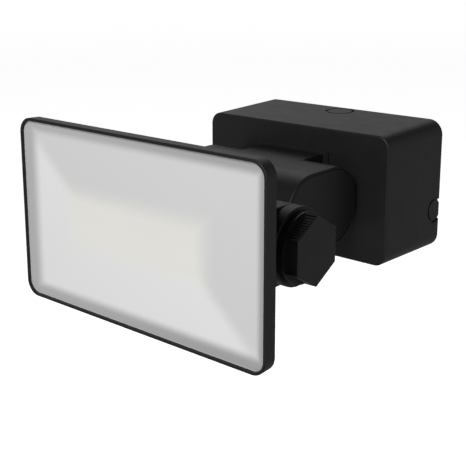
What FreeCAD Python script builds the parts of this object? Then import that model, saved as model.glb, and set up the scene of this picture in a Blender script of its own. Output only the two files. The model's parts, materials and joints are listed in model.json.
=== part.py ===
"""Outdoor floodlight with a wall box, a fixed hollow arm and a tilting lamp head locked by a hand knob.

Frame: the origin is the centre of the wall face, +Z is up, +X is to the right of someone facing the wall,
and the lamp looks towards -Y, away from the wall.  Millimetres.
"""
import FreeCAD, Part
import math
import os

V = FreeCAD.Vector
X_AXIS, Y_AXIS, Z_AXIS = V(1, 0, 0), V(0, 1, 0), V(0, 0, 1)

# ---- driving dimensions -------------------------------------------------------------------------
# Wall box: a drafted plastic housing, larger at the wall than at its front.
BOX_W, BOX_H, BOX_R = 181.0, 105.0, 10.0
BOX_DEPTH = 81.0
BOX_DRAFT = 2.25            # each side grows this much from the front to the wall
BOX_WALL = 3.0
BOX_EDGE = 1.2              # small round along the front edge
PLATE_T = 2.0               # steel mounting plate
PLATE_W, PLATE_H = 173.5, 97.5
WALL_SCREW_X, WALL_SCREW_Z = 140.0, 64.0
WALL_SCREW_R = 2.6
SLOT_SPACING, SLOT_LENGTH = 85.0, 12.0
FEED_HOLE_R = 16.0
TOP_ENTRY_R, TOP_ENTRY_Y = 12.6, -13.9
SIDE_ENTRY_R, SIDE_ENTRY_Y, SIDE_ENTRY_Z = 10.9, -7.0, -20.4
ENTRY_GROOVE = 2.1
BOTTOM_ENTRY_R, BOTTOM_ENTRY_Y = 10.2, -34.0

# Arm: flange and neck on the box front, then a wide hollow link with a round front and back.
FLANGE_W, FLANGE_H, FLANGE_T, FLANGE_R = 70.8, 69.8, 1.2, 3.0
NECK_W = 61.0
ARM_R = 31.3                # half the height of the link
ARM_HALF_W = 64.0
ARM_BACK_Y, ARM_FRONT_Y = -114.4, -142.2
ARM_EDGE = 1.3
COVER_R, COVER_T, COVER_GAP = 29.3, 3.0, 0.35
ARM_CAVITY_R = 27.2
LEAD_HOLE_R = 7.0

# Head hinge: one axis along X, a drum on the arm between two ears on the head.
HINGE_Y, HINGE_Z = -208.0, -1.3
HINGE_R = 27.7
DRUM_HALF_W = 61.0
WEB_HALF_W, WEB_HALF_H = 54.0, 11.0
EAR_IN, EAR_OUT = 62.0, 90.0
EAR_WALL = 4.0
BOLT_R = 6.0
RUNNING_GAP = 0.05
BUSH_R = 8.0

# Knob on the right-hand end of the hinge bolt.
KNOB_GAP = 0.5
RING_R, RING_END = 27.7, 100.0
FIN_R, FIN_START, FIN_END = 24.9, 101.2, 102.2
COLLAR_START, COLLAR_END = 103.4, 104.7
CORE_R = 22.0
HEX_R, HEX_END = 24.7, 114.9
GRIP_RIBS, GRIP_PITCH, GRIP_DEPTH = 9, 2.35, 1.8
GRIP_RIB_W, GRIP_RIB_DROP = 1.65, 0.25
THUMB_DEPTH = 3.2           # the plain recesses between the ribbed ones
BOLT_HEAD_R, BOLT_HEAD_T = 11.0, 3.0
BOLT_END = COLLAR_END + 4.5
END_CAP_END = -EAR_OUT - 6.5
INSERT_R = 8.9

# Lamp head.
HEAD_FRONT_Y = -267.0
HEAD_W, HEAD_H, HEAD_R = 237.5, 140.4, 11.8
RIM_DEPTH, RIM_WALL = 10.0, 2.1
LENS_RECESS, LENS_T = 2.0, 1.6
REAR_W, REAR_H, REAR_R = 209.0, 105.0, 11.0
REAR_Y = -243.0
REAR_EDGE = 3.0
SCREW_XS, SCREW_Z = (-100.0, 0.0, 100.0), 63.0
HOUSING_WALL = 3.0
EAR_SCREW_X, EAR_SCREW_ZS = 64.2, (-14.0, 14.0)
HEAD_LEAD_R, HEAD_LEAD_X = 3.0, -76.0
VENT_X, VENT_Z = -30.0, -40.0

BOX_FRONT_Y = -BOX_DEPTH
RIM_BACK_Y = HEAD_FRONT_Y + RIM_DEPTH
LENS_FRONT_Y = HEAD_FRONT_Y + LENS_RECESS
LENS_BACK_Y = LENS_FRONT_Y + LENS_T

# Inside the head: the sloped white tray, the LED board behind it and the aluminium heat spreader.
TRAY_MOUTH = (212.0, 115.0, 5.0, LENS_BACK_Y + 0.6)     # width, height, corner radius, y
TRAY_FLOOR = (114.0, 26.0, 3.0, -254.0)
TRAY_WALL = 1.0
LED_BOARD_Y = -252.9
LED_BOARD_T, SPREADER_T = 1.6, 3.0
LED_COLUMNS, LED_ROWS = 9, 2
LED_PITCH_X, LED_PITCH_Z = 12.0, 12.0
LED_SIZE, LED_T, LED_WINDOW = 3.5, 0.8, 4.4


# ---- shape helpers ------------------------------------------------------------------------------
def outline(width, height, radius, y, cx=0.0, cz=0.0):
    """A rounded rectangle in a plane parallel to the wall, at the given y."""
    hw, hh, r = width / 2, height / 2, radius
    k = r * (1 - math.sqrt(0.5))

    def at(x, z):
        return V(cx + x, y, cz + z)

    edges = []
    for sx, sz in ((1, 1), (-1, 1), (-1, -1), (1, -1)):
        side_end, top_end = at(sx * hw, sz * (hh - r)), at(sx * (hw - r), sz * hh)
        middle = at(sx * (hw - k), sz * (hh - k))
        ends = (side_end, top_end) if sx * sz > 0 else (top_end, side_end)
        edges.append(Part.Arc(ends[0], middle, ends[1]).toShape())
    straights = ((at(hw - r, hh), at(-hw + r, hh)), (at(-hw, hh - r), at(-hw, -hh + r)),
                 (at(-hw + r, -hh), at(hw - r, -hh)), (at(hw, -hh + r), at(hw, hh - r)))
    ordered = []
    for arc, (start, end) in zip(edges, straights):
        ordered += [arc, Part.LineSegment(start, end).toShape()]
    return Part.Wire(ordered)


def plate(width, height, radius, y0, y1, cx=0.0, cz=0.0):
    """A rounded rectangular plate between two depths."""
    face = Part.Face(outline(width, height, radius, min(y0, y1), cx, cz))
    return face.extrude(V(0, abs(y1 - y0), 0))


def drafted(front, back):
    """A block whose rounded outline changes from front to back; each end is (width, height, radius, y)."""
    return Part.makeLoft([outline(*front), outline(*back)], True, True)


def block(x0, x1, y0, y1, z0, z1):
    return Part.makeBox(x1 - x0, y1 - y0, z1 - z0, V(x0, y0, z0))


def rod(radius, length, start, axis):
    return Part.makeCylinder(radius, length, start, axis)


def rod_x(radius, x0, x1, y, z=0.0):
    return rod(radius, x1 - x0, V(x0, y, z), X_AXIS)


def hinge_rod(radius, x0, x1):
    """A cylinder on the head hinge's axis."""
    return rod_x(radius, x0, x1, HINGE_Y, HINGE_Z)


def rod_y(radius, y0, y1, x=0.0, z=0.0):
    return rod(radius, y1 - y0, V(x, y0, z), Y_AXIS)


def stadium(radius, back_y, front_y, x0, x1):
    """A bar along X whose side view is a rectangle with round ends."""
    length = x1 - x0
    bar = rod_x(radius, x0, x1, back_y).fuse(rod_x(radius, x0, x1, front_y))
    bar = bar.fuse(Part.makeBox(length, back_y - front_y, 2 * radius, V(x0, front_y, -radius)))
    return bar.removeSplitter()


def rounded(shape, radius, keep):
    """The shape with a fillet on every edge that keep(edge) picks."""
    return shape.makeFillet(radius, [edge for edge in shape.Edges if keep(edge)])


def lies_at_x(value):
    def test(edge):
        box = edge.BoundBox
        return abs(box.XMin - value) < 1e-4 and abs(box.XMax - value) < 1e-4
    return test


def lies_at_y(value):
    def test(edge):
        box = edge.BoundBox
        return abs(box.YMin - value) < 1e-4 and abs(box.YMax - value) < 1e-4
    return test


def group(solids):
    return Part.makeCompound(solids)


def screw_y(x, z, head_y, head_r, head_t, shank_r, length):
    """A pan head screw along Y: its head stands towards +Y and its shank runs towards -Y."""
    head = rounded(rod_y(head_r, head_y, head_y + head_t, x, z), head_t * 0.35, lies_at_y(head_y + head_t))
    drive = block(x - head_r * 0.55, x + head_r * 0.55, head_y + head_t * 0.45, head_y + head_t + 1,
                  z - 0.35, z + 0.35)
    cross = drive.copy()
    cross.rotate(V(x, 0, z), Y_AXIS, 90)
    return head.cut(drive).cut(cross).fuse(rod_y(shank_r, head_y - length, head_y, x, z))


# ---- wall box -----------------------------------------------------------------------------------
SCREW_SIDE_X, SCREW_SIDE_Y = 60.0, -8.0
ARM_SCREWS = [(sx * 24.0, sz * 23.0) for sx in (-1, 1) for sz in (-1, 1)]
BOARD_POSTS = [(sx * 70.0, sz * 34.0) for sx in (-1, 1) for sz in (-1, 1)]
BOARD_FRONT_Y, BOARD_BACK_Y = -66.0, -64.4


def box_section(inset, y):
    grow = BOX_DRAFT * (y + BOX_DEPTH) / BOX_DEPTH
    return (BOX_W + 2 * (grow - inset), BOX_H + 2 * (grow - inset), BOX_R + grow - inset, y)


def wall_box_housing():
    shell = rounded(drafted(box_section(0, BOX_FRONT_Y), box_section(0, 0)), BOX_EDGE, lies_at_y(BOX_FRONT_Y))
    shell = shell.cut(drafted(box_section(BOX_WALL, BOX_FRONT_Y + BOX_WALL), box_section(BOX_WALL, 1.0)))
    for x, z in BOARD_POSTS:
        shell = shell.fuse(rod_y(4.0, BOX_FRONT_Y + BOX_WALL - 0.5, BOARD_FRONT_Y, x, z))
    for x, z in BOARD_POSTS:
        shell = shell.cut(rod_y(1.3, BOARD_FRONT_Y - 9, BOARD_FRONT_Y + 1, x, z))
    for x, z in ARM_SCREWS:
        shell = shell.cut(rod_y(2.3, BOX_FRONT_Y - 1, BOX_FRONT_Y + BOX_WALL + 1, x, z))
    shell = shell.cut(rod_y(LEAD_HOLE_R + 1, BOX_FRONT_Y - 1, BOX_FRONT_Y + BOX_WALL + 1))
    top_z = BOX_H / 2 + 0.85
    groove = rod(TOP_ENTRY_R, 9, V(0, TOP_ENTRY_Y, top_z), Z_AXIS)
    shell = shell.cut(groove.cut(rod(TOP_ENTRY_R - ENTRY_GROOVE, 9, V(0, TOP_ENTRY_Y, top_z), Z_AXIS)))
    side_x = BOX_W / 2 + 0.9
    for side in (-1, 1):
        start = V(side * side_x, SIDE_ENTRY_Y, SIDE_ENTRY_Z)
        ring = rod(SIDE_ENTRY_R, 9, start, X_AXIS * side)
        shell = shell.cut(ring.cut(rod(SIDE_ENTRY_R - ENTRY_GROOVE, 9, start, X_AXIS * side)))
        hole = V(side * SCREW_SIDE_X, SCREW_SIDE_Y, -BOX_H / 2 - 4)
        shell = shell.cut(rod(2.2, 12, hole, Z_AXIS)).cut(rod(4.2, 3.0, hole, Z_AXIS))
    bottom = V(0, BOTTOM_ENTRY_Y, -BOX_H / 2 - 4)
    return shell.cut(rod(BOTTOM_ENTRY_R, 12, bottom, Z_AXIS))


def mounting_plate():
    sheet = plate(PLATE_W, PLATE_H, 7.0, -PLATE_T, 0)
    for side in (-1, 1):
        x = side * SCREW_SIDE_X
        tab = block(x - 8, x + 8, -14, -PLATE_T + 0.1, -48.7, -46.2)
        sheet = sheet.fuse(tab).cut(rod(1.65, 8, V(x, SCREW_SIDE_Y, -51), Z_AXIS))
    sheet = sheet.cut(rod_y(FEED_HOLE_R, -PLATE_T - 1, 1))
    for sx in (-1, 1):
        for sz in (-1, 1):
            hole = rod_y(WALL_SCREW_R, -PLATE_T - 1, 1, sx * WALL_SCREW_X / 2, sz * WALL_SCREW_Z / 2)
            sheet = sheet.cut(hole)
        slot = plate(SLOT_LENGTH, 2 * WALL_SCREW_R, WALL_SCREW_R - 0.001, -PLATE_T - 1, 1, sx * SLOT_SPACING / 2)
        sheet = sheet.cut(slot)
    return sheet


def wall_gasket():
    outer = box_section(BOX_WALL + 0.3, 0)
    return plate(*outer[:3], -3.0, 0).cut(plate(outer[0] - 4.2, outer[1] - 4.2, outer[2] - 2.1, -4, 1))


def housing_screws():
    screws = []
    for side in (-1, 1):
        foot = V(side * SCREW_SIDE_X, SCREW_SIDE_Y, -BOX_H / 2 - 1.15)
        head = rod(3.8, 1.5, foot - Z_AXIS * 1.5, Z_AXIS)
        slot = block(foot.x - 3, foot.x + 3, foot.y - 0.5, foot.y + 0.5, foot.z - 2, foot.z - 0.8)
        screws.append(head.cut(slot).fuse(rod(1.6, 10.5, foot, Z_AXIS)))
    return group(screws)


def bottom_entry_plug():
    """A rubber blanking plug, gripping the bottom wall between its outer lip and its inner lip."""
    z = -BOX_H / 2 - BOX_DRAFT * (BOTTOM_ENTRY_Y + BOX_DEPTH) / BOX_DEPTH
    body = rod(BOTTOM_ENTRY_R - 0.1, 8.0, V(0, BOTTOM_ENTRY_Y, z - 0.6), Z_AXIS)
    lip = rod(BOTTOM_ENTRY_R + 2.2, 1.6, V(0, BOTTOM_ENTRY_Y, z - 2.1), Z_AXIS)
    inner = rod(BOTTOM_ENTRY_R + 1.4, 1.6, V(0, BOTTOM_ENTRY_Y, z + BOX_WALL + 0.7), Z_AXIS)
    dish = rod(BOTTOM_ENTRY_R - 2.5, 1.2, V(0, BOTTOM_ENTRY_Y, z - 2.2), Z_AXIS)
    return body.fuse(lip).fuse(inner).cut(dish)


def driver_board():
    board = plate(152, 78, 2.0, BOARD_FRONT_Y, BOARD_BACK_Y).cut(rod_y(11, -70, -60))
    for x, z in BOARD_POSTS:
        board = board.cut(rod_y(1.7, -70, -60, x, z))
    return board


def transformer():
    core = block(-58, -30, BOARD_BACK_Y, BOARD_BACK_Y + 22, -14, 14)
    coil = rounded(block(-62, -26, BOARD_BACK_Y + 4, BOARD_BACK_Y + 18, -10, 10), 3.0,
                   lambda edge: abs(edge.BoundBox.ZLength - 20) < 1e-4)
    return core.fuse(coil)


def capacitors():
    cans = []
    for x, z, radius, height in ((-22, 24, 8.0, 24), (-40, 25, 6.0, 18), (24, -26, 5.0, 16)):
        can = rod_y(radius, BOARD_BACK_Y, BOARD_BACK_Y + height, x, z)
        cans.append(rounded(can, 0.8, lies_at_y(BOARD_BACK_Y + height)))
    return group(cans)


def terminal_block():
    body = block(28, 58, BOARD_BACK_Y, BOARD_BACK_Y + 16, 14, 30)
    for i in range(3):
        x = 33 + 10 * i
        body = body.cut(rod(2.0, 12, V(x, BOARD_BACK_Y + 6, 12), Z_AXIS))
        body = body.cut(rod_y(2.4, BOARD_BACK_Y + 10, BOARD_BACK_Y + 17, x, 23))
    return body


def terminal_screws():
    screws = []
    for i in range(3):
        x = 33 + 10 * i
        screw = rod_y(2.2, BOARD_BACK_Y + 10, BOARD_BACK_Y + 14, x, 23)
        screws.append(screw.cut(block(x - 3, x + 3, BOARD_BACK_Y + 13, BOARD_BACK_Y + 15, 22.7, 23.3)))
    return group(screws)


def radio_module():
    board = block(30, 62, BOARD_BACK_Y + 3, BOARD_BACK_Y + 4.2, -12, 6)
    can = rounded(block(32, 48, BOARD_BACK_Y + 4.2, BOARD_BACK_Y + 6.6, -10, 4), 0.6,
                  lies_at_y(BOARD_BACK_Y + 6.6))
    header = block(31, 61, BOARD_BACK_Y, BOARD_BACK_Y + 3, -11.5, -9)
    return board.fuse(can).fuse(header)


def radio_antenna():
    """A flat wire antenna folded back and forth on the end of the radio module."""
    trace = block(50, 52, BOARD_BACK_Y + 4.2, BOARD_BACK_Y + 4.7, -10, 4)
    for i in range(4):
        z = -10 + 4 * i
        trace = trace.fuse(block(50, 60, BOARD_BACK_Y + 4.2, BOARD_BACK_Y + 4.7, z, z + 1.2))
    return trace


def cable_clamp():
    """A saddle that holds the incoming supply cable down on the board."""
    saddle = block(26, 60, BOARD_BACK_Y + 0.2, BOARD_BACK_Y + 11, 6.8, 12.2)
    saddle = saddle.cut(rod(5.2, 12, V(43, BOARD_BACK_Y + 1, 4), Z_AXIS))
    saddle = saddle.cut(block(37.8, 48.2, BOARD_BACK_Y - 1, BOARD_BACK_Y + 1, 4, 16))
    for x in (31.0, 55.0):
        saddle = saddle.cut(rod_y(1.7, BOARD_BACK_Y - 1, BOARD_BACK_Y + 12, x, 9.5))
    return saddle


def clamp_screws():
    return group([screw_y(x, 9.5, BOARD_BACK_Y + 11, 3.0, 2.0, 1.6, 10.8) for x in (31.0, 55.0)])


def board_screws():
    return group([screw_y(x, z, BOARD_BACK_Y, 2.9, 1.9, 1.25, 8.0) for x, z in BOARD_POSTS])


def arm_screws():
    return group([screw_y(x, z, BOX_FRONT_Y + BOX_WALL, 4.0, 2.6, 2.0, 8.0) for x, z in ARM_SCREWS])


# ---- arm ----------------------------------------------------------------------------------------
def arm_body():
    link = stadium(ARM_R, ARM_BACK_Y, ARM_FRONT_Y, -ARM_HALF_W, ARM_HALF_W)
    link = rounded(link, ARM_EDGE, lies_at_x(ARM_HALF_W))
    link = rounded(link, ARM_EDGE, lies_at_x(-ARM_HALF_W))
    flange = plate(FLANGE_W, FLANGE_H, FLANGE_R, BOX_FRONT_Y - FLANGE_T, BOX_FRONT_Y)
    neck = block(-NECK_W / 2, NECK_W / 2, ARM_BACK_Y, BOX_FRONT_Y - FLANGE_T / 2, -ARM_R, ARM_R)
    drum = hinge_rod(HINGE_R, -DRUM_HALF_W, DRUM_HALF_W)
    web = block(-WEB_HALF_W, WEB_HALF_W, HINGE_Y, ARM_FRONT_Y - 20, HINGE_Z - WEB_HALF_H, HINGE_Z + WEB_HALF_H)
    arm = link.fuse(neck).fuse(flange).fuse(web).fuse(drum).removeSplitter()
    arm = arm.cut(stadium(ARM_CAVITY_R, ARM_BACK_Y, ARM_FRONT_Y, -ARM_HALF_W - 1, ARM_HALF_W + 1))
    for side in (-1, 1):
        x0, x1 = sorted((side * (ARM_HALF_W - COVER_T), side * (ARM_HALF_W + 1)))
        arm = arm.cut(stadium(COVER_R + COVER_GAP, ARM_BACK_Y, ARM_FRONT_Y, x0, x1))
    arm = arm.cut(hinge_rod(HINGE_R - 4, -DRUM_HALF_W + 7, DRUM_HALF_W - 7))
    arm = arm.cut(hinge_rod(BUSH_R, -DRUM_HALF_W - 1, DRUM_HALF_W + 1))
    arm = arm.cut(rod_y(LEAD_HOLE_R, BOX_FRONT_Y - 30, BOX_FRONT_Y + 1))
    arm = arm.cut(rod_y(LEAD_HOLE_R, HINGE_Y + HINGE_R - 10, ARM_FRONT_Y - 10))
    for x, z in ARM_SCREWS:
        arm = arm.cut(rod_y(2.05, BOX_FRONT_Y - 6.6, BOX_FRONT_Y + 1, x, z))
    return arm


def arm_cover(side):
    """The snap-in cover of one end of the link: a plate with a skirt behind it."""
    x0, x1 = sorted((side * (ARM_HALF_W - COVER_T + 0.1), side * ARM_HALF_W))
    cover = stadium(COVER_R, ARM_BACK_Y, ARM_FRONT_Y, x0, x1)
    cover = rounded(cover, 0.5, lies_at_x(side * ARM_HALF_W))
    skirt_in, skirt_out = sorted((side * (ARM_HALF_W - COVER_T - 5), side * (ARM_HALF_W - COVER_T + 0.1)))
    skirt = stadium(ARM_CAVITY_R - 7.5, ARM_BACK_Y, ARM_FRONT_Y, skirt_in, skirt_out)
    skirt = skirt.cut(stadium(ARM_CAVITY_R - 9.5, ARM_BACK_Y, ARM_FRONT_Y, skirt_in - 1, skirt_out + 1))
    return cover.fuse(skirt)


def lead_bushings():
    """Rubber sleeves where the lamp lead passes the box front and the hinge drum."""
    sleeves = []
    for y0, y1 in ((BOX_FRONT_Y - 6, BOX_FRONT_Y + 5), (HINGE_Y + HINGE_R - 5, HINGE_Y + HINGE_R + 6)):
        sleeve = rod_y(LEAD_HOLE_R - 0.1, y0, y1).cut(rod_y(3.6, y0 - 1, y1 + 1))
        sleeves.append(sleeve)
    return group(sleeves)


def lamp_lead():
    """The lead that carries power from the driver through the arm to the hinge drum."""
    radius = 3.4
    start = BOARD_BACK_Y + 6
    end = HINGE_Y + HINGE_R - 14
    return rod_y(radius, end, start)


def lead_connector():
    y = HINGE_Y + HINGE_R - 14
    return block(-6, 6, y - 5, y, -4, 4)


# ---- hinge --------------------------------------------------------------------------------------
def hinge_bushes():
    """Flanged plastic bushes in the ends of the drum; the flanges are the friction faces."""
    bushes = []
    for side in (-1, 1):
        x0, x1 = sorted((side * (DRUM_HALF_W - 7), side * (DRUM_HALF_W + 0.6)))
        f0, f1 = sorted((side * DRUM_HALF_W, side * (DRUM_HALF_W + 0.6)))
        bush = hinge_rod(BUSH_R, x0, x1).fuse(hinge_rod(20.0, f0, f1))
        bushes.append(bush.cut(hinge_rod(BOLT_R + RUNNING_GAP, x0 - 1, x1 + 1)))
    return group(bushes)


def hinge_bolt():
    head = hinge_rod(BOLT_HEAD_R, -EAR_OUT - BOLT_HEAD_T, -EAR_OUT)
    shank = hinge_rod(BOLT_R, -EAR_OUT - 1, BOLT_END)
    return rounded(head.fuse(shank), 0.8, lies_at_x(BOLT_END))


def hinge_end_cap():
    """The round cap that hides the bolt head on the left-hand ear."""
    cap = rounded(hinge_rod(RING_R, END_CAP_END, -EAR_OUT), 2.0, lies_at_x(END_CAP_END))
    return cap.cut(hinge_rod(BOLT_HEAD_R + 0.3, -EAR_OUT - BOLT_HEAD_T - 0.3, -EAR_OUT + 1))


def hinge_ear(side):
    """One of the two lugs that stand on the back of the head and hold the ends of the hinge bolt."""
    x0, x1 = sorted((side * EAR_IN, side * EAR_OUT))
    root = block(x0, x1, REAR_Y, HINGE_Y, HINGE_Z - HINGE_R, HINGE_Z + HINGE_R)
    lug = hinge_rod(HINGE_R, x0, x1).fuse(root).removeSplitter()
    lug = rounded(lug, 0.8, lies_at_x(side * EAR_OUT))
    pocket = block(x0 + EAR_WALL, x1 - EAR_WALL, REAR_Y - 1, HINGE_Y - 14,
                   HINGE_Z - HINGE_R + EAR_WALL, HINGE_Z + HINGE_R - EAR_WALL)
    lug = lug.cut(pocket).cut(hinge_rod(BOLT_R + RUNNING_GAP, x0 - 1, x1 + 1))
    if side > 0:
        groove = hinge_rod(10.9, EAR_OUT - 2.6, EAR_OUT + 1)
        lug = lug.cut(groove.cut(hinge_rod(8.3, EAR_OUT - 3.6, EAR_OUT + 2)))
    for z in EAR_SCREW_ZS:
        lug = lug.cut(rod_y(1.55, REAR_Y - 1, REAR_Y + 9, side * EAR_SCREW_X, HINGE_Z + z))
    return lug


def ear_screws():
    """Screws that come from inside the head housing into the walls of the ears."""
    y = REAR_Y - HOUSING_WALL
    screws = []
    for side in (-1, 1):
        for z in EAR_SCREW_ZS:
            x = side * EAR_SCREW_X
            shank = rod_y(1.5, y - 0.1, y + 9.0, x, HINGE_Z + z)
            screws.append(rod_y(2.6, y - 1.8, y, x, HINGE_Z + z).fuse(shank))
    return group(screws)


def knob_seal():
    """An O-ring in a groove in the right-hand ear, around the bolt."""
    return Part.makeTorus(9.6, 1.2, V(EAR_OUT - 1.3, HINGE_Y, HINGE_Z), X_AXIS)


def hexagon_prism(radius, x0, x1):
    points = []
    for i in range(7):
        angle = math.radians(90 + 60 * i)
        points.append(V(x0, HINGE_Y + radius * math.cos(angle), HINGE_Z + radius * math.sin(angle)))
    return Part.Face(Part.makePolygon(points)).extrude(V(x1 - x0, 0, 0))


def grip_recess(depth):
    """The finger recess in one flat of the knob, as the shape to cut away, on the top flat."""
    flat = HINGE_Z + HEX_R * math.cos(math.radians(30))
    half = (GRIP_RIBS + 0.6) * GRIP_PITCH / 2
    x0, x1 = COLLAR_END + 0.8, HEX_END - 0.7
    recess = Part.makeBox(x1 - x0, 2 * half, depth + 3, V(x0, HINGE_Y - half, flat - depth))
    return rounded(recess, 1.4, lambda edge: edge.BoundBox.ZLength > depth + 2.9)


def ribbed_recess():
    """A shallow finger recess with ribs along the knob's axis left standing in it."""
    recess = grip_recess(GRIP_DEPTH)
    flat = HINGE_Z + HEX_R * math.cos(math.radians(30))
    for i in range(GRIP_RIBS):
        y = HINGE_Y + (i - (GRIP_RIBS - 1) / 2) * GRIP_PITCH
        y0, y1 = y - GRIP_RIB_W / 2, y + GRIP_RIB_W / 2
        recess = recess.cut(block(COLLAR_END, HEX_END, y0, y1, flat - GRIP_DEPTH - 1, flat - GRIP_RIB_DROP))
    return recess


def clamp_knob():
    back = EAR_OUT + KNOB_GAP
    ring = rounded(hinge_rod(RING_R, back, RING_END), 0.7, lies_at_x(RING_END))
    ring = rounded(ring, 0.4, lies_at_x(back))
    core = hinge_rod(CORE_R, RING_END - 1, COLLAR_END)
    fin = hinge_rod(FIN_R, FIN_START, FIN_END)
    collar = hinge_rod(FIN_R, COLLAR_START, COLLAR_END)
    hexagon = rounded(hexagon_prism(HEX_R, COLLAR_END - 0.2, HEX_END), 0.6, lies_at_x(HEX_END))
    knob = ring.fuse(core).fuse(fin).fuse(collar).fuse(hexagon)
    recesses = (ribbed_recess(), grip_recess(THUMB_DEPTH))
    for i in range(6):
        cutter = recesses[i % 2].copy()
        cutter.rotate(V(0, HINGE_Y, HINGE_Z), X_AXIS, 30 + 60 * i)
        knob = knob.cut(cutter)
    return knob.cut(hinge_rod(INSERT_R + 0.05, back - 1, BOLT_END + 1.5))


def knob_insert():
    """The threaded brass insert moulded into the knob."""
    insert = hinge_rod(INSERT_R, EAR_OUT + KNOB_GAP + 1, BOLT_END + 1.4)
    return insert.cut(hinge_rod(BOLT_R + RUNNING_GAP, EAR_OUT, BOLT_END + 0.4))


# ---- lamp head ----------------------------------------------------------------------------------
def front_frame():
    frame = drafted((HEAD_W, HEAD_H, HEAD_R, HEAD_FRONT_Y), (HEAD_W - 0.7, HEAD_H - 0.7, HEAD_R - 0.3, RIM_BACK_Y))
    frame = rounded(frame, 0.7, lies_at_y(HEAD_FRONT_Y))
    inner = (HEAD_W - 2 * RIM_WALL, HEAD_H - 2 * RIM_WALL, HEAD_R - RIM_WALL)
    frame = frame.cut(plate(*inner, HEAD_FRONT_Y - 1, RIM_BACK_Y + 1))
    ledge_y = LENS_BACK_Y + 0.5
    ledge = plate(inner[0] + 0.4, inner[1] + 0.4, inner[2], ledge_y, ledge_y + 2)
    ledge = ledge.cut(plate(inner[0] - 5, inner[1] - 5, inner[2] - 2.5, ledge_y - 1, ledge_y + 3))
    frame = frame.fuse(ledge)
    for x in SCREW_XS:
        for side in (-1, 1):
            z = side * SCREW_Z
            tab = rod_y(3.8, ledge_y + 0.4, ledge_y + 2, x, z)
            frame = frame.fuse(tab).cut(rod_y(1.2, ledge_y - 1, ledge_y + 3, x, z))
    return frame


def diffuser():
    size = (HEAD_W - 2 * RIM_WALL - 0.3, HEAD_H - 2 * RIM_WALL - 0.3, HEAD_R - RIM_WALL - 0.15)
    return plate(*size, LENS_FRONT_Y, LENS_BACK_Y)


def diffuser_gasket():
    width, height, radius = HEAD_W - 2 * RIM_WALL - 0.6, HEAD_H - 2 * RIM_WALL - 0.6, HEAD_R - RIM_WALL - 0.3
    ring = plate(width, height, radius, LENS_BACK_Y, LENS_BACK_Y + 0.5)
    return ring.cut(plate(width - 4, height - 4, radius - 2, LENS_BACK_Y - 1, LENS_BACK_Y + 1))


def reflector_tray():
    def grown(section, amount):
        return (section[0] + 2 * amount, section[1] + 2 * amount, section[2] + amount, section[3])

    outside = drafted(grown(TRAY_MOUTH, TRAY_WALL), grown(TRAY_FLOOR, TRAY_WALL))
    tray = outside.cut(drafted(TRAY_MOUTH, TRAY_FLOOR))
    floor_y = TRAY_FLOOR[3]
    floor = plate(TRAY_FLOOR[0] + 8, TRAY_FLOOR[1] + 8, 3.0, floor_y - 0.05, floor_y + 1)
    tray = tray.fuse(floor)
    half = LED_WINDOW / 2
    for column in range(LED_COLUMNS):
        for row in range(LED_ROWS):
            x, z = led_place(column, row)
            tray = tray.cut(block(x - half, x + half, floor_y - 1, floor_y + 2, z - half, z + half))
    return tray


def led_place(column, row):
    return (column - (LED_COLUMNS - 1) / 2) * LED_PITCH_X, (row - (LED_ROWS - 1) / 2) * LED_PITCH_Z


def led_board():
    return plate(TRAY_FLOOR[0] + 12, TRAY_FLOOR[1] + 12, 3.0, LED_BOARD_Y, LED_BOARD_Y + LED_BOARD_T)


def leds():
    chips = []
    half = LED_SIZE / 2
    for column in range(LED_COLUMNS):
        for row in range(LED_ROWS):
            x, z = led_place(column, row)
            chips.append(block(x - half, x + half, LED_BOARD_Y - LED_T, LED_BOARD_Y, z - half, z + half))
    return group(chips)


def heat_spreader():
    """The aluminium plate behind the LEDs, with upright fins that reach the back of the housing."""
    y = LED_BOARD_Y + LED_BOARD_T
    slab = plate(190, 88, 5.0, y, y + SPREADER_T)
    for i in range(5):
        x = 12.0 * (i - 2)
        slab = slab.fuse(block(x - 1, x + 1, y + SPREADER_T - 0.1, REAR_Y - HOUSING_WALL - 0.2, -40, 40))
    return slab


def head_housing():
    rear = rounded(plate(REAR_W, REAR_H, REAR_R, RIM_BACK_Y - 1, REAR_Y), REAR_EDGE, lies_at_y(REAR_Y))
    inner = (HEAD_W - 2 * RIM_WALL - 0.6, HEAD_H - 2 * RIM_WALL - 0.6, HEAD_R - RIM_WALL - 0.3)
    housing = rear.fuse(plate(*inner, RIM_BACK_Y - 3.6, RIM_BACK_Y))
    wall = HOUSING_WALL
    housing = housing.cut(plate(REAR_W - 2 * wall, REAR_H - 2 * wall, REAR_R - wall, RIM_BACK_Y - 4, REAR_Y - wall))
    housing = housing.cut(plate(224, 118, 8.0, RIM_BACK_Y - 4, RIM_BACK_Y - 2.4))
    for x in SCREW_XS:
        for side in (-1, 1):
            housing = housing.cut(rod_y(1.7, RIM_BACK_Y - 5, RIM_BACK_Y + 1, x, side * SCREW_Z))
    for side in (-1, 1):
        for z in EAR_SCREW_ZS:
            housing = housing.cut(rod_y(1.6, REAR_Y - 4, REAR_Y + 1, side * EAR_SCREW_X, HINGE_Z + z))
    housing = housing.cut(rod_y(HEAD_LEAD_R + 0.2, REAR_Y - 4, REAR_Y + 1, HEAD_LEAD_X, HINGE_Z))
    return housing.cut(rod_y(3.0, REAR_Y - 4, REAR_Y + 1, VENT_X, VENT_Z))


def head_lead():
    """The lead from the left-hand ear into the head, up to the LED board's edge connector."""
    return rod_y(HEAD_LEAD_R, REAR_Y - 5.0, REAR_Y + 17, HEAD_LEAD_X, HINGE_Z)


def head_screws():
    return group([screw_y(x, side * SCREW_Z, RIM_BACK_Y, 2.9, 1.9, 1.15, 6.0)
                  for x in SCREW_XS for side in (-1, 1)])


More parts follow.
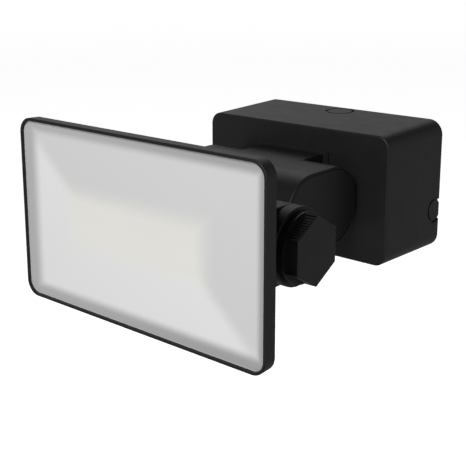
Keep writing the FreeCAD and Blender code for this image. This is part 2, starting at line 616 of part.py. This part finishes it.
def breather_vent():
    cap = rounded(rod_y(6.0, REAR_Y, REAR_Y + 1.6, VENT_X, VENT_Z), 0.5, lies_at_y(REAR_Y + 1.6))
    return cap.fuse(rod_y(2.9, REAR_Y - 4, REAR_Y + 0.1, VENT_X, VENT_Z))


# ---- every sub-part, one file each --------------------------------------------------------------
PARTS = {
    "wall_box_housing": wall_box_housing,
    "mounting_plate": mounting_plate,
    "wall_gasket": wall_gasket,
    "housing_screws": housing_screws,
    "bottom_entry_plug": bottom_entry_plug,
    "driver_board": driver_board,
    "transformer": transformer,
    "capacitors": capacitors,
    "terminal_block": terminal_block,
    "terminal_screws": terminal_screws,
    "radio_module": radio_module,
    "radio_antenna": radio_antenna,
    "cable_clamp": cable_clamp,
    "clamp_screws": clamp_screws,
    "board_screws": board_screws,
    "arm_screws": arm_screws,
    "arm_body": arm_body,
    "arm_cover_left": lambda: arm_cover(-1),
    "arm_cover_right": lambda: arm_cover(1),
    "lead_bushings": lead_bushings,
    "lamp_lead": lamp_lead,
    "lead_connector": lead_connector,
    "hinge_bushes": hinge_bushes,
    "hinge_bolt": hinge_bolt,
    "hinge_end_cap": hinge_end_cap,
    "hinge_ear_left": lambda: hinge_ear(-1),
    "hinge_ear_right": lambda: hinge_ear(1),
    "ear_screws": ear_screws,
    "knob_seal": knob_seal,
    "clamp_knob": clamp_knob,
    "knob_insert": knob_insert,
    "front_frame": front_frame,
    "diffuser": diffuser,
    "diffuser_gasket": diffuser_gasket,
    "reflector_tray": reflector_tray,
    "led_board": led_board,
    "leds": leds,
    "heat_spreader": heat_spreader,
    "head_housing": head_housing,
    "head_lead": head_lead,
    "head_screws": head_screws,
    "breather_vent": breather_vent,
}

os.makedirs("parts", exist_ok=True)
for node, make in PARTS.items():
    shape = make()
    if not shape.isValid():
        print("invalid:", node)
    print(f"{node:20s} solids {len(shape.Solids):3d}  volume {shape.Volume / 1000:8.2f} cm3")
    shape.exportStep(f"parts/{node}.step")
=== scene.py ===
import json
import math

import bmesh
import bpy
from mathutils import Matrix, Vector


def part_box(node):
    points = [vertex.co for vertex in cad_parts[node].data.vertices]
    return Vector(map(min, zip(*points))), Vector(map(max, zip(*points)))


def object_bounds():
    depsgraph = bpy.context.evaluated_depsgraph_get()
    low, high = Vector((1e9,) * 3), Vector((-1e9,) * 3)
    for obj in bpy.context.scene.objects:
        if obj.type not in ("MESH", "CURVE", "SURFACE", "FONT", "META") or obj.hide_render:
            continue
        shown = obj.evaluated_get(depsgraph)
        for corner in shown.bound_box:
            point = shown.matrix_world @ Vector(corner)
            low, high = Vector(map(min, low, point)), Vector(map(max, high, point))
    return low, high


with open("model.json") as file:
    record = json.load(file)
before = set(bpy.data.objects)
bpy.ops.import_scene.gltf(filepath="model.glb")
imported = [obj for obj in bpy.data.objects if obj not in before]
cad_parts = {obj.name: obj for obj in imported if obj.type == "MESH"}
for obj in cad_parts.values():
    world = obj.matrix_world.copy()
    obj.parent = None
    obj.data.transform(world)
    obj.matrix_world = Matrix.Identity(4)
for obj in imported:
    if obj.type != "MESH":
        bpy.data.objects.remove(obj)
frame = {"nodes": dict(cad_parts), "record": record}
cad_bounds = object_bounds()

MM = 0.001

# ---- camera and studio -------------------------------------------------------------------------
CAMERA_PLACE = Vector((0.4518, -0.6903, 0.1929))
CAMERA_AZIMUTH, CAMERA_PITCH = math.radians(40.35), math.radians(12.93)
CAMERA_LENS, CAMERA_SHIFT_Y = 72.14, -0.15
FLOOR_DROP, FLOOR_RADIUS = 0.55, 9.0
BACKDROP_CURVE, BACKDROP_TOP = 3.0, 9.0
BACKDROP_SEGMENTS, CURVE_STEPS = 96, 12
LIGHT_DISTANCE = 2.4
FLOOR_GLOW = 0.90
# name, azimuth and elevation in degrees, size, watts; azimuth 0 shines from the front, 90 from the right
LIGHTS = (("front_light", 10, 35, 1.2, 40.0),
          ("low_light", 40, 5, 1.2, 7.0),
          ("rear_left_light", -130, 35, 1.2, 4.4),
          ("rear_light", 200, 35, 1.2, 2.8))
# brightness of the sky at heights from straight down, 0, to straight up, 1
SKY = ((0.0, 0.31), (0.5, 0.31), (0.52, 0.265), (0.68, 0.265), (0.76, 0.02), (1.0, 0.02))

# ---- tones -------------------------------------------------------------------------------------
BLACK, KNOB_BLACK = (0.0055, 0.0056, 0.0059), (0.0050, 0.0050, 0.0053)
# how much of the corners is painted lighter, and how much lighter: partly rubbed wear, partly painted
# highlight
RUB_AND_HIGHLIGHT_SHARE, RUB_AND_HIGHLIGHT_TONE = 0.25, 1.4
TINNED, CAN_TOP = (0.62, 0.62, 0.60), (0.72, 0.73, 0.74)
TAPE_DARK, TAPE_LIGHT = (0.62, 0.45, 0.07), (0.80, 0.62, 0.14)
FERRITE_DARK, FERRITE_LIGHT = (0.02, 0.02, 0.022), (0.05, 0.05, 0.052)
FLOOR_DARK, FLOOR_LIGHT = (0.90, 0.90, 0.90), (0.92, 0.92, 0.92)

# the diffuser: painted light and shade of the tray's walls, and the floor's tone, as they show through it,
# then the painted shade band and the painted highlight along the border
# painted light on the left and bottom tray walls, painted shade on the right and top walls; the warm centre
# is the floor's tone
DIFFUSER_PAINTED_LIGHT_LEFT, DIFFUSER_PAINTED_SHADE_RIGHT = (0.84, 0.84, 0.84), (0.695, 0.695, 0.695)
DIFFUSER_PAINTED_SHADE_TOP, DIFFUSER_PAINTED_LIGHT_BOTTOM = (0.70, 0.70, 0.70), (0.845, 0.845, 0.845)
DIFFUSER_CENTRE = (0.865, 0.855, 0.805)
# painted shade of the band along the border, lighter on the left than on the right
DIFFUSER_BAND_SHADE_LEFT, DIFFUSER_BAND_SHADE_RIGHT = (0.49, 0.49, 0.49), (0.40, 0.40, 0.40)
# painted highlight in a thin line along the sheet's outer edge
DIFFUSER_EDGE_HIGHLIGHT = (0.56, 0.56, 0.56)
# widths of the painted shade band on each side, wider on the left than on the right
DIFFUSER_BAND = {"left": 15 * MM, "right": 6 * MM, "top": 8 * MM, "bottom": 10 * MM}
# where the band fades, and how far it rounds its corners, in shares of its width
BAND_START, BAND_END, BAND_CORNER = 0.45, 1.30, 0.25
# how softly the fields meet, in shares of a tray wall's slope: 0 at the tray's floor and 1 at its mouth
DIAGONAL_BLUR, LED_FLOOR_BLUR = 0.2, (-0.15, 0.40)
# how much wider than the mouth the tray is, and than its floor the board is, on each side
TRAY_WALL, BOARD_MARGIN = 1 * MM, 6 * MM


def set_camera():
    data = bpy.data.cameras.new("photo_camera")
    data.lens, data.sensor_width, data.shift_y = CAMERA_LENS, 36.0, CAMERA_SHIFT_Y
    data.clip_start, data.clip_end = 0.01, 100.0
    camera = bpy.data.objects.new("photo_camera", data)
    camera.location = CAMERA_PLACE
    camera.rotation_euler = (math.pi / 2 - CAMERA_PITCH, 0.0, CAMERA_AZIMUTH)
    bpy.context.scene.collection.objects.link(camera)
    bpy.context.scene.camera = camera


def area_light(name, azimuth, elevation, size, watts):
    """A round soft light that looks at the middle of the object from this direction."""
    around, above = math.radians(azimuth), math.radians(elevation)
    away = Vector((math.sin(around) * math.cos(above), -math.cos(around) * math.cos(above), math.sin(above)))
    data = bpy.data.lights.new(name, "AREA")
    data.shape, data.size, data.energy = "DISK", size, watts
    light = bpy.data.objects.new(name, data)
    light.location = (cad_bounds[0] + cad_bounds[1]) / 2 + away * LIGHT_DISTANCE
    light.rotation_euler = (-away).to_track_quat("-Z", "Y").to_euler()
    bpy.context.scene.collection.objects.link(light)


def set_world():
    """A soft sky whose brightness depends only on how high a direction points."""
    world = bpy.data.worlds.new("studio_sky")
    world.use_nodes = True
    tree = world.node_tree
    coordinates = tree.nodes.new("ShaderNodeTexCoord")
    split = tree.nodes.new("ShaderNodeSeparateXYZ")
    rescale = tree.nodes.new("ShaderNodeMapRange")
    rescale.inputs["From Min"].default_value = -1.0
    ramp = tree.nodes.new("ShaderNodeValToRGB")
    while len(ramp.color_ramp.elements) < len(SKY):
        ramp.color_ramp.elements.new(0.5)
    for element, (height, tone) in zip(ramp.color_ramp.elements, SKY):
        element.position = height
        element.color = (tone, tone, tone, 1.0)
    tree.links.new(coordinates.outputs["Generated"], split.inputs[0])
    tree.links.new(split.outputs["Z"], rescale.inputs["Value"])
    tree.links.new(rescale.outputs[0], ramp.inputs[0])
    tree.links.new(ramp.outputs["Color"], tree.nodes["Background"].inputs["Color"])
    bpy.context.scene.world = world


# ---- material graphs ---------------------------------------------------------------------------
class Look:
    """One procedural material: a Principled shader with short calls for the nodes that feed it."""

    def __init__(self, name, roughness, metallic=0.0, specular=0.5, coat=0.0, sheen=0.0):
        self.material = bpy.data.materials.new(name)
        self.material.use_nodes = True
        self.tree = self.material.node_tree
        self.shader = self.tree.nodes["Principled BSDF"]
        settings = {"Roughness": roughness, "Metallic": metallic, "Specular IOR Level": specular,
                    "Coat Weight": coat, "Sheen Weight": sheen}
        for socket, value in settings.items():
            self.shader.inputs[socket].default_value = value
        self.place = self.node("ShaderNodeTexCoord").outputs["Object"]

    def node(self, kind, inputs=(), **settings):
        made = self.tree.nodes.new(kind)
        for name, value in settings.items():
            setattr(made, name, value)
        for socket, value in dict(inputs).items():
            self.feed(made.inputs[socket], value)
        return made

    def feed(self, socket, value):
        if isinstance(value, bpy.types.NodeSocket):
            self.tree.links.new(value, socket)
        else:
            socket.default_value = value

    def math(self, operation, first, second=0.0):
        return self.node("ShaderNodeMath", {0: first, 1: second}, operation=operation).outputs[0]

    def noise(self, grain, detail=3.0, stretch=(1.0, 1.0, 1.0)):
        """Noise whose lumps are about `grain` metres across, stretched by these factors."""
        place = self.place
        if stretch != (1.0, 1.0, 1.0):
            scale = tuple(1.0 / s for s in stretch)
            place = self.node("ShaderNodeMapping", {"Vector": place, "Scale": scale}).outputs[0]
        inputs = {"Vector": place, "Scale": 1.0 / grain, "Detail": detail}
        return self.node("ShaderNodeTexNoise", inputs).outputs["Fac"]

    def cells(self, size):
        """Distance from the middle of the nearest of many round cells, about `size` metres across."""
        inputs = {"Vector": self.place, "Scale": 1.0 / size}
        return self.node("ShaderNodeTexVoronoi", inputs).outputs["Distance"]

    def spread(self, value, low, high, start=0.3, end=0.7, smooth=True):
        """Takes value from start..end to low..high."""
        inputs = {"Value": value, "From Min": start, "From Max": end, "To Min": low, "To Max": high}
        kind = "SMOOTHSTEP" if smooth else "LINEAR"
        return self.node("ShaderNodeMapRange", inputs, interpolation_type=kind).outputs[0]

    def mix(self, share, first, second):
        made = self.node("ShaderNodeMix", data_type="RGBA")
        for index, value in ((0, share), (6, first), (7, second)):
            if isinstance(value, tuple):
                value = (*value, 1.0)
            self.feed(made.inputs[index], value)
        return made.outputs[2]

    def edges(self, width):
        """1 on corners sharper than about `width` metres, 0 on flat stretches."""
        soft = self.node("ShaderNodeBevel", {"Radius": width}, samples=4).outputs[0]
        true = self.node("ShaderNodeNewGeometry").outputs["Normal"]
        inputs = {0: soft, 1: true}
        along = self.node("ShaderNodeVectorMath", inputs, operation="DOT_PRODUCT").outputs["Value"]
        return self.spread(along, 1.0, 0.0, 0.80, 0.99)

    def bump(self, height, depth, strength=1.0):
        inputs = {"Height": height, "Distance": depth, "Strength": strength}
        last = self.shader.inputs["Normal"].links
        if last:
            inputs["Normal"] = last[0].from_socket
        self.feed(self.shader.inputs["Normal"], self.node("ShaderNodeBump", inputs).outputs[0])

    def colour(self, value):
        self.feed(self.shader.inputs["Base Color"], value)

    def roughness(self, value):
        self.feed(self.shader.inputs["Roughness"], value)


def toned(tone, factor):
    return tuple(min(1.0, c * factor) for c in tone)


def moulded_plastic(name, tone, roughness, specular, texture=0.45 * MM):
    """Plastic from a spark-eroded mould: an even fine grain, faint flow clouds, and corners painted slightly
    lighter, partly rubbed wear and partly painted highlight.
    """
    look = Look(name, roughness, specular=specular)
    clouds = look.noise(28 * MM, 4.0)
    specks = look.noise(1.6 * MM, 2.0)
    body = look.mix(look.spread(clouds, 0.0, 1.0), toned(tone, 0.93), toned(tone, 1.07))
    body = look.mix(look.spread(specks, 0.0, 0.25, 0.55, 0.8), body, toned(tone, 1.35))
    # corners painted lighter: partly rubbed wear, partly painted highlight
    rub_and_highlight = look.math("MULTIPLY", look.edges(0.6 * MM), RUB_AND_HIGHLIGHT_SHARE)
    look.colour(look.mix(rub_and_highlight, body, toned(tone, RUB_AND_HIGHLIGHT_TONE)))
    look.roughness(look.spread(look.noise(11 * MM, 3.0), roughness - 0.02, roughness + 0.02))
    look.bump(look.noise(texture, 2.0), 0.02 * MM, 0.5)
    look.bump(look.noise(5 * MM, 2.0), 0.01 * MM, 0.2)
    return look.material


def rubber(name, tone, pore=0.8 * MM):
    look = Look(name, 0.78, specular=0.3, sheen=0.1)
    dust = look.spread(look.noise(5 * MM, 4.0), 0.0, 1.0, 0.45, 0.75)
    look.colour(look.mix(dust, tone, toned(tone, 1.6)))
    look.roughness(look.spread(look.noise(2 * MM), 0.7, 0.88))
    look.bump(look.noise(pore, 3.0), 0.05 * MM, 0.5)
    return look.material


def foam(name, tone, cell=1.1 * MM):
    """Closed-cell foam: round cells with lighter walls between them."""
    look = Look(name, 0.85, specular=0.25, sheen=0.1)
    cells = look.cells(cell)
    look.colour(look.mix(look.spread(cells, 0.0, 1.0, 0.2, 0.6), tone, toned(tone, 1.5)))
    look.bump(cells, 0.25 * MM)
    look.bump(look.noise(0.8 * MM, 3.0), 0.05 * MM, 0.5)
    return look.material


def plated_metal(name, tone, roughness, stretch=(1.0, 1.0, 1.0), lines=0.5 * MM):
    """Plated, rolled or machined metal: a clouded finish with fine marks drawn out along one axis."""
    look = Look(name, roughness, metallic=1.0)
    clouds = look.spread(look.noise(7 * MM, 4.0), 0.0, 1.0)
    base = look.mix(clouds, toned(tone, 0.85), toned(tone, 1.05))
    scuffs = look.spread(look.noise(lines, 2.0, stretch), 0.0, 0.35, 0.5, 0.8)
    look.colour(look.mix(scuffs, base, toned(tone, 0.7)))
    look.roughness(look.spread(look.noise(lines, 3.0, stretch), roughness - 0.08, roughness + 0.12))
    look.bump(look.noise(lines, 2.0, stretch), 0.01 * MM, 0.6)
    return look.material


def circuit_board(name, mask, copper):
    """Solder mask with faint copper tracks under it and small tinned pads."""
    look = Look(name, 0.35, specular=0.5, coat=0.2)
    place = look.node("ShaderNodeSeparateXYZ", {0: look.place}).outputs
    flat = look.node("ShaderNodeCombineXYZ", {0: place[0], 1: place[2]}).outputs[0]
    tracks = look.node("ShaderNodeTexBrick", {"Vector": flat, "Scale": 1.0, "Mortar Size": 0.35 * MM,
                                              "Brick Width": 19 * MM, "Row Height": 4.5 * MM})
    pads = look.node("ShaderNodeTexVoronoi", {"Vector": flat, "Scale": 1.0 / (7 * MM), "Randomness": 0.7})
    pad = look.spread(pads.outputs["Distance"], 1.0, 0.0, 0.10, 0.12)
    board = look.mix(look.spread(look.noise(20 * MM), 0.0, 1.0), toned(mask, 0.85), toned(mask, 1.1))
    board = look.mix(tracks.outputs["Fac"], board, copper)
    look.colour(look.mix(pad, board, TINNED))
    look.roughness(look.spread(pad, 0.38, 0.22, 0.0, 1.0))
    look.bump(look.math("ADD", tracks.outputs["Fac"], pad), 0.04 * MM, 0.7)
    return look.material


def wound_transformer(name, low, high):
    """Dark ferrite at both ends of the core, and layers of yellow tape round the winding between them."""
    look = Look(name, 0.5, specular=0.4)
    place = look.node("ShaderNodeSeparateXYZ", {0: look.place}).outputs
    middle, half = (low.x + high.x) / 2, (high.x - low.x) / 2
    off = look.math("ABSOLUTE", look.math("SUBTRACT", place[0], middle))
    core = look.spread(off, 0.0, 1.0, half * 0.62, half * 0.66)
    layers = look.node("ShaderNodeTexWave", {"Vector": look.place, "Scale": 60.0, "Distortion": 0.6})
    tape = look.mix(layers.outputs["Fac"], TAPE_DARK, TAPE_LIGHT)
    ferrite = look.mix(look.spread(look.noise(1.2 * MM), 0.0, 1.0), FERRITE_DARK, FERRITE_LIGHT)
    look.colour(look.mix(core, tape, ferrite))
    look.roughness(look.spread(core, 0.35, 0.7, 0.0, 1.0))
    look.bump(layers.outputs["Fac"], 0.05 * MM, 0.5)
    return look.material


def sleeved_capacitor(name, sleeve, top_y):
    """A shrink sleeve round each can; the can's bare aluminium top shows at the end."""
    look = Look(name, 0.3, specular=0.5, coat=0.15)
    place = look.node("ShaderNodeSeparateXYZ", {0: look.place}).outputs
    top = look.spread(place[1], 1.0, 0.0, top_y - 0.25 * MM, top_y - 0.05 * MM)
    wrinkle = look.noise(3 * MM, 3.0, (1.0, 6.0, 1.0))
    skin = look.mix(look.spread(wrinkle, 0.0, 1.0), toned(sleeve, 0.8), toned(sleeve, 1.3))
    look.colour(look.mix(top, CAN_TOP, skin))
    look.bump(wrinkle, 0.05 * MM, 0.4)
    return look.material


def satin_plastic(name, tone, roughness, coat=0.0):
    """A plain light plastic part: clean, faintly clouded, with a soft satin skin."""
    look = Look(name, roughness, specular=0.5, coat=coat)
    clouds = look.spread(look.noise(15 * MM, 4.0), 0.0, 1.0)
    base = look.mix(clouds, toned(tone, 0.94), toned(tone, 1.02))
    # corners and creases painted darker, as painted shade
    look.colour(look.mix(look.edges(0.5 * MM), base, toned(tone, 0.9)))
    look.roughness(look.spread(look.noise(3 * MM), roughness - 0.04, roughness + 0.06))
    look.bump(look.noise(0.6 * MM, 2.0), 0.01 * MM, 0.5)
    return look.material


def opal_diffuser(name, lens, mouth, floor):
    """Frosted sheet over the sloped tray.  Its colour carries painted light and shade.  The tray's four
    walls show through it as soft fields, in painted light on the left and bottom and in painted shade on the
    right and top, round the floor's warm tone.
    A band of painted shade runs along the border, where the sheet lies on its gasket, and a painted
    highlight runs along the outer edge.  `lens` is the sheet's box; `mouth` and `floor` are the half width
    and half height of the tray's open end and floor."""
    look = Look(name, 0.42, specular=0.45)
    centre = (lens[0] + lens[1]) / 2
    half = (lens[1] - lens[0]) / 2
    place = look.node("ShaderNodeSeparateXYZ", {0: look.place}).outputs
    x = look.math("SUBTRACT", place[0], centre.x)
    z = look.math("SUBTRACT", place[2], centre.z)
    across = look.spread(look.math("ABSOLUTE", x), 0.0, 1.0, floor[0], mouth[0], smooth=False)
    up = look.spread(look.math("ABSOLUTE", z), 0.0, 1.0, floor[1], mouth[1], smooth=False)
    on_side = look.spread(look.math("SUBTRACT", across, up), 0.0, 1.0, -DIAGONAL_BLUR, DIAGONAL_BLUR)
    # painted light and shade of the tray walls: lit on the left and bottom, shaded on the right and top
    left_right = look.mix(look.spread(x, 0.0, 1.0, -20 * MM, 20 * MM), DIFFUSER_PAINTED_LIGHT_LEFT, DIFFUSER_PAINTED_SHADE_RIGHT)
    low_high = look.mix(look.spread(z, 0.0, 1.0, -8 * MM, 10 * MM), DIFFUSER_PAINTED_LIGHT_BOTTOM, DIFFUSER_PAINTED_SHADE_TOP)
    walls = look.mix(on_side, low_high, left_right)
    slope = look.math("MAXIMUM", across, up)
    field = look.mix(look.spread(slope, 0.0, 1.0, *LED_FLOOR_BLUR), DIFFUSER_CENTRE, walls)
    gap = look.math("DIVIDE", look.math("ADD", x, half.x), DIFFUSER_BAND["left"])
    for offset, sign, side in ((x, -1, "right"), (z, -1, "top"), (z, 1, "bottom")):
        reach = half.x if side == "right" else half.z
        inward = look.math("ADD", look.math("MULTIPLY", offset, float(sign)), reach)
        gap = look.math("SMOOTH_MIN", gap, look.math("DIVIDE", inward, DIFFUSER_BAND[side]))
        gap.node.inputs[2].default_value = BAND_CORNER
    # painted shade band along the border, lighter on the left than on the right
    shade = look.mix(look.spread(x, 0.0, 1.0, -half.x, half.x), DIFFUSER_BAND_SHADE_LEFT, DIFFUSER_BAND_SHADE_RIGHT)
    field = look.mix(look.spread(gap, 1.0, 0.0, BAND_START, BAND_END), field, shade)
    # painted highlight in a thin line along the sheet's outer edge
    rim_x = look.math("SUBTRACT", half.x, look.math("ABSOLUTE", x))
    rim_z = look.math("SUBTRACT", half.z, look.math("ABSOLUTE", z))
    rim = look.math("MINIMUM", rim_x, rim_z)
    field = look.mix(look.spread(rim, 0.6, 0.0, 0.4 * MM, 1.6 * MM), field, DIFFUSER_EDGE_HIGHLIGHT)
    look.colour(field)
    look.roughness(look.spread(look.noise(9 * MM, 3.0), 0.38, 0.47))
    look.bump(look.noise(0.5 * MM, 2.0), 0.01 * MM, 0.4)
    return look.material


def make_looks():
    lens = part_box("diffuser")
    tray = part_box("reflector_tray")
    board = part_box("led_board")
    mouth = ((tray[1].x - tray[0].x) / 2 - TRAY_WALL, (tray[1].z - tray[0].z) / 2 - TRAY_WALL)
    floor = ((board[1].x - board[0].x) / 2 - BOARD_MARGIN, (board[1].z - board[0].z) / 2 - BOARD_MARGIN)
    return {
        "black_plastic": moulded_plastic("black_plastic_look", BLACK, 0.50, 0.42),
        "knob_plastic": moulded_plastic("knob_plastic_look", KNOB_BLACK, 0.52, 0.42, 0.35 * MM),
        "vent_plastic": moulded_plastic("vent_plastic_look", toned(BLACK, 1.4), 0.6, 0.35),
        "bush_plastic": moulded_plastic("bush_plastic_look", (0.05, 0.05, 0.052), 0.35, 0.5),
        "zinc_steel": plated_metal("zinc_steel_look", (0.62, 0.63, 0.66), 0.38, (12.0, 1.0, 1.0)),
        "screw_steel": plated_metal("screw_steel_look", (0.56, 0.56, 0.57), 0.30),
        "bolt_steel": plated_metal("bolt_steel_look", (0.50, 0.50, 0.52), 0.26, (1.0, 8.0, 8.0)),
        "bare_brass": plated_metal("bare_brass_look", (0.78, 0.58, 0.26), 0.28, (1.0, 6.0, 6.0)),
        "shield_can": plated_metal("shield_can_look", (0.70, 0.70, 0.70), 0.32, (1.0, 1.0, 10.0)),
        "spreader_aluminium": plated_metal("spreader_look", (0.76, 0.77, 0.78), 0.42, (1.0, 1.0, 14.0)),
        "foam_rubber": foam("foam_rubber_look", (0.030, 0.030, 0.031)),
        "seal_rubber": rubber("seal_rubber_look", (0.012, 0.012, 0.012)),
        "lead_rubber": rubber("lead_rubber_look", (0.018, 0.018, 0.018), 0.5 * MM),
        "circuit_board": circuit_board("circuit_board_look", (0.015, 0.13, 0.055), (0.05, 0.24, 0.10)),
        "led_board_white": circuit_board("led_board_look", (0.80, 0.80, 0.79), (0.70, 0.69, 0.66)),
        "winding_tape": wound_transformer("transformer_look", *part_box("transformer")),
        "capacitor_sleeve": sleeved_capacitor("capacitor_look", (0.03, 0.045, 0.14),
                                              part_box("capacitors")[1].y),
        "terminal_plastic": satin_plastic("terminal_plastic_look", (0.72, 0.72, 0.69), 0.45),
        "white_plastic": satin_plastic("white_plastic_look", (0.90, 0.90, 0.89), 0.25, 0.2),
        "led_phosphor": satin_plastic("led_phosphor_look", (0.90, 0.66, 0.16), 0.35),
        "frosted_plastic": opal_diffuser("frosted_plastic_look", lens, mouth, floor),
    }


def dress(looks):
    """Gives every CAD node the look of its material slot."""
    for part in frame["record"]["subparts"]:
        mesh = frame["nodes"][part["node"]].data
        look = looks[part["material_slot"]]
        for index in range(len(mesh.materials)):
            mesh.materials[index] = look
        if not mesh.materials:
            mesh.materials.append(look)


def floor_and_backdrop():
    """A round pale floor that curves up into a wall all the way round."""
    profile = [(0.0, 0.0), (FLOOR_RADIUS - BACKDROP_CURVE, 0.0)]
    for step in range(1, CURVE_STEPS + 1):
        angle = math.pi / 2 * step / CURVE_STEPS
        out = FLOOR_RADIUS - BACKDROP_CURVE + BACKDROP_CURVE * math.sin(angle)
        profile.append((out, BACKDROP_CURVE * (1 - math.cos(angle))))
    profile.append((FLOOR_RADIUS, BACKDROP_TOP))
    shell = bmesh.new()
    line = [shell.verts.new((out, 0.0, up)) for out, up in profile]
    edges = [shell.edges.new(pair) for pair in zip(line, line[1:])]
    bmesh.ops.spin(shell, geom=line + edges, cent=(0, 0, 0), axis=(0, 0, 1), angle=2 * math.pi,
                   steps=BACKDROP_SEGMENTS, use_merge=True)
    bmesh.ops.remove_doubles(shell, verts=shell.verts, dist=MM)
    bmesh.ops.recalc_face_normals(shell, faces=shell.faces)
    mesh = bpy.data.meshes.new("studio_floor")
    shell.to_mesh(mesh)
    shell.free()
    mesh.shade_smooth()
    floor = bpy.data.objects.new("studio_floor", mesh)
    floor.location.z = cad_bounds[0].z - FLOOR_DROP
    bpy.context.scene.collection.objects.link(floor)
    look = Look("pale_floor", 0.9, specular=0.1)
    look.colour(look.mix(look.spread(look.noise(0.4, 2.0), 0.0, 1.0), FLOOR_DARK, FLOOR_LIGHT))
    look.shader.inputs["Emission Color"].default_value = (1.0, 1.0, 1.0, 1.0)
    look.shader.inputs["Emission Strength"].default_value = FLOOR_GLOW
    mesh.materials.append(look.material)
    for way in ("glossy", "diffuse", "shadow", "transmission"):
        setattr(floor, "visible_" + way, False)


def studio():
    set_world()
    for light in LIGHTS:
        area_light(*light)
    bpy.context.scene.view_settings.view_transform = "Standard"


set_camera()
dress(make_looks())
floor_and_backdrop()
studio()
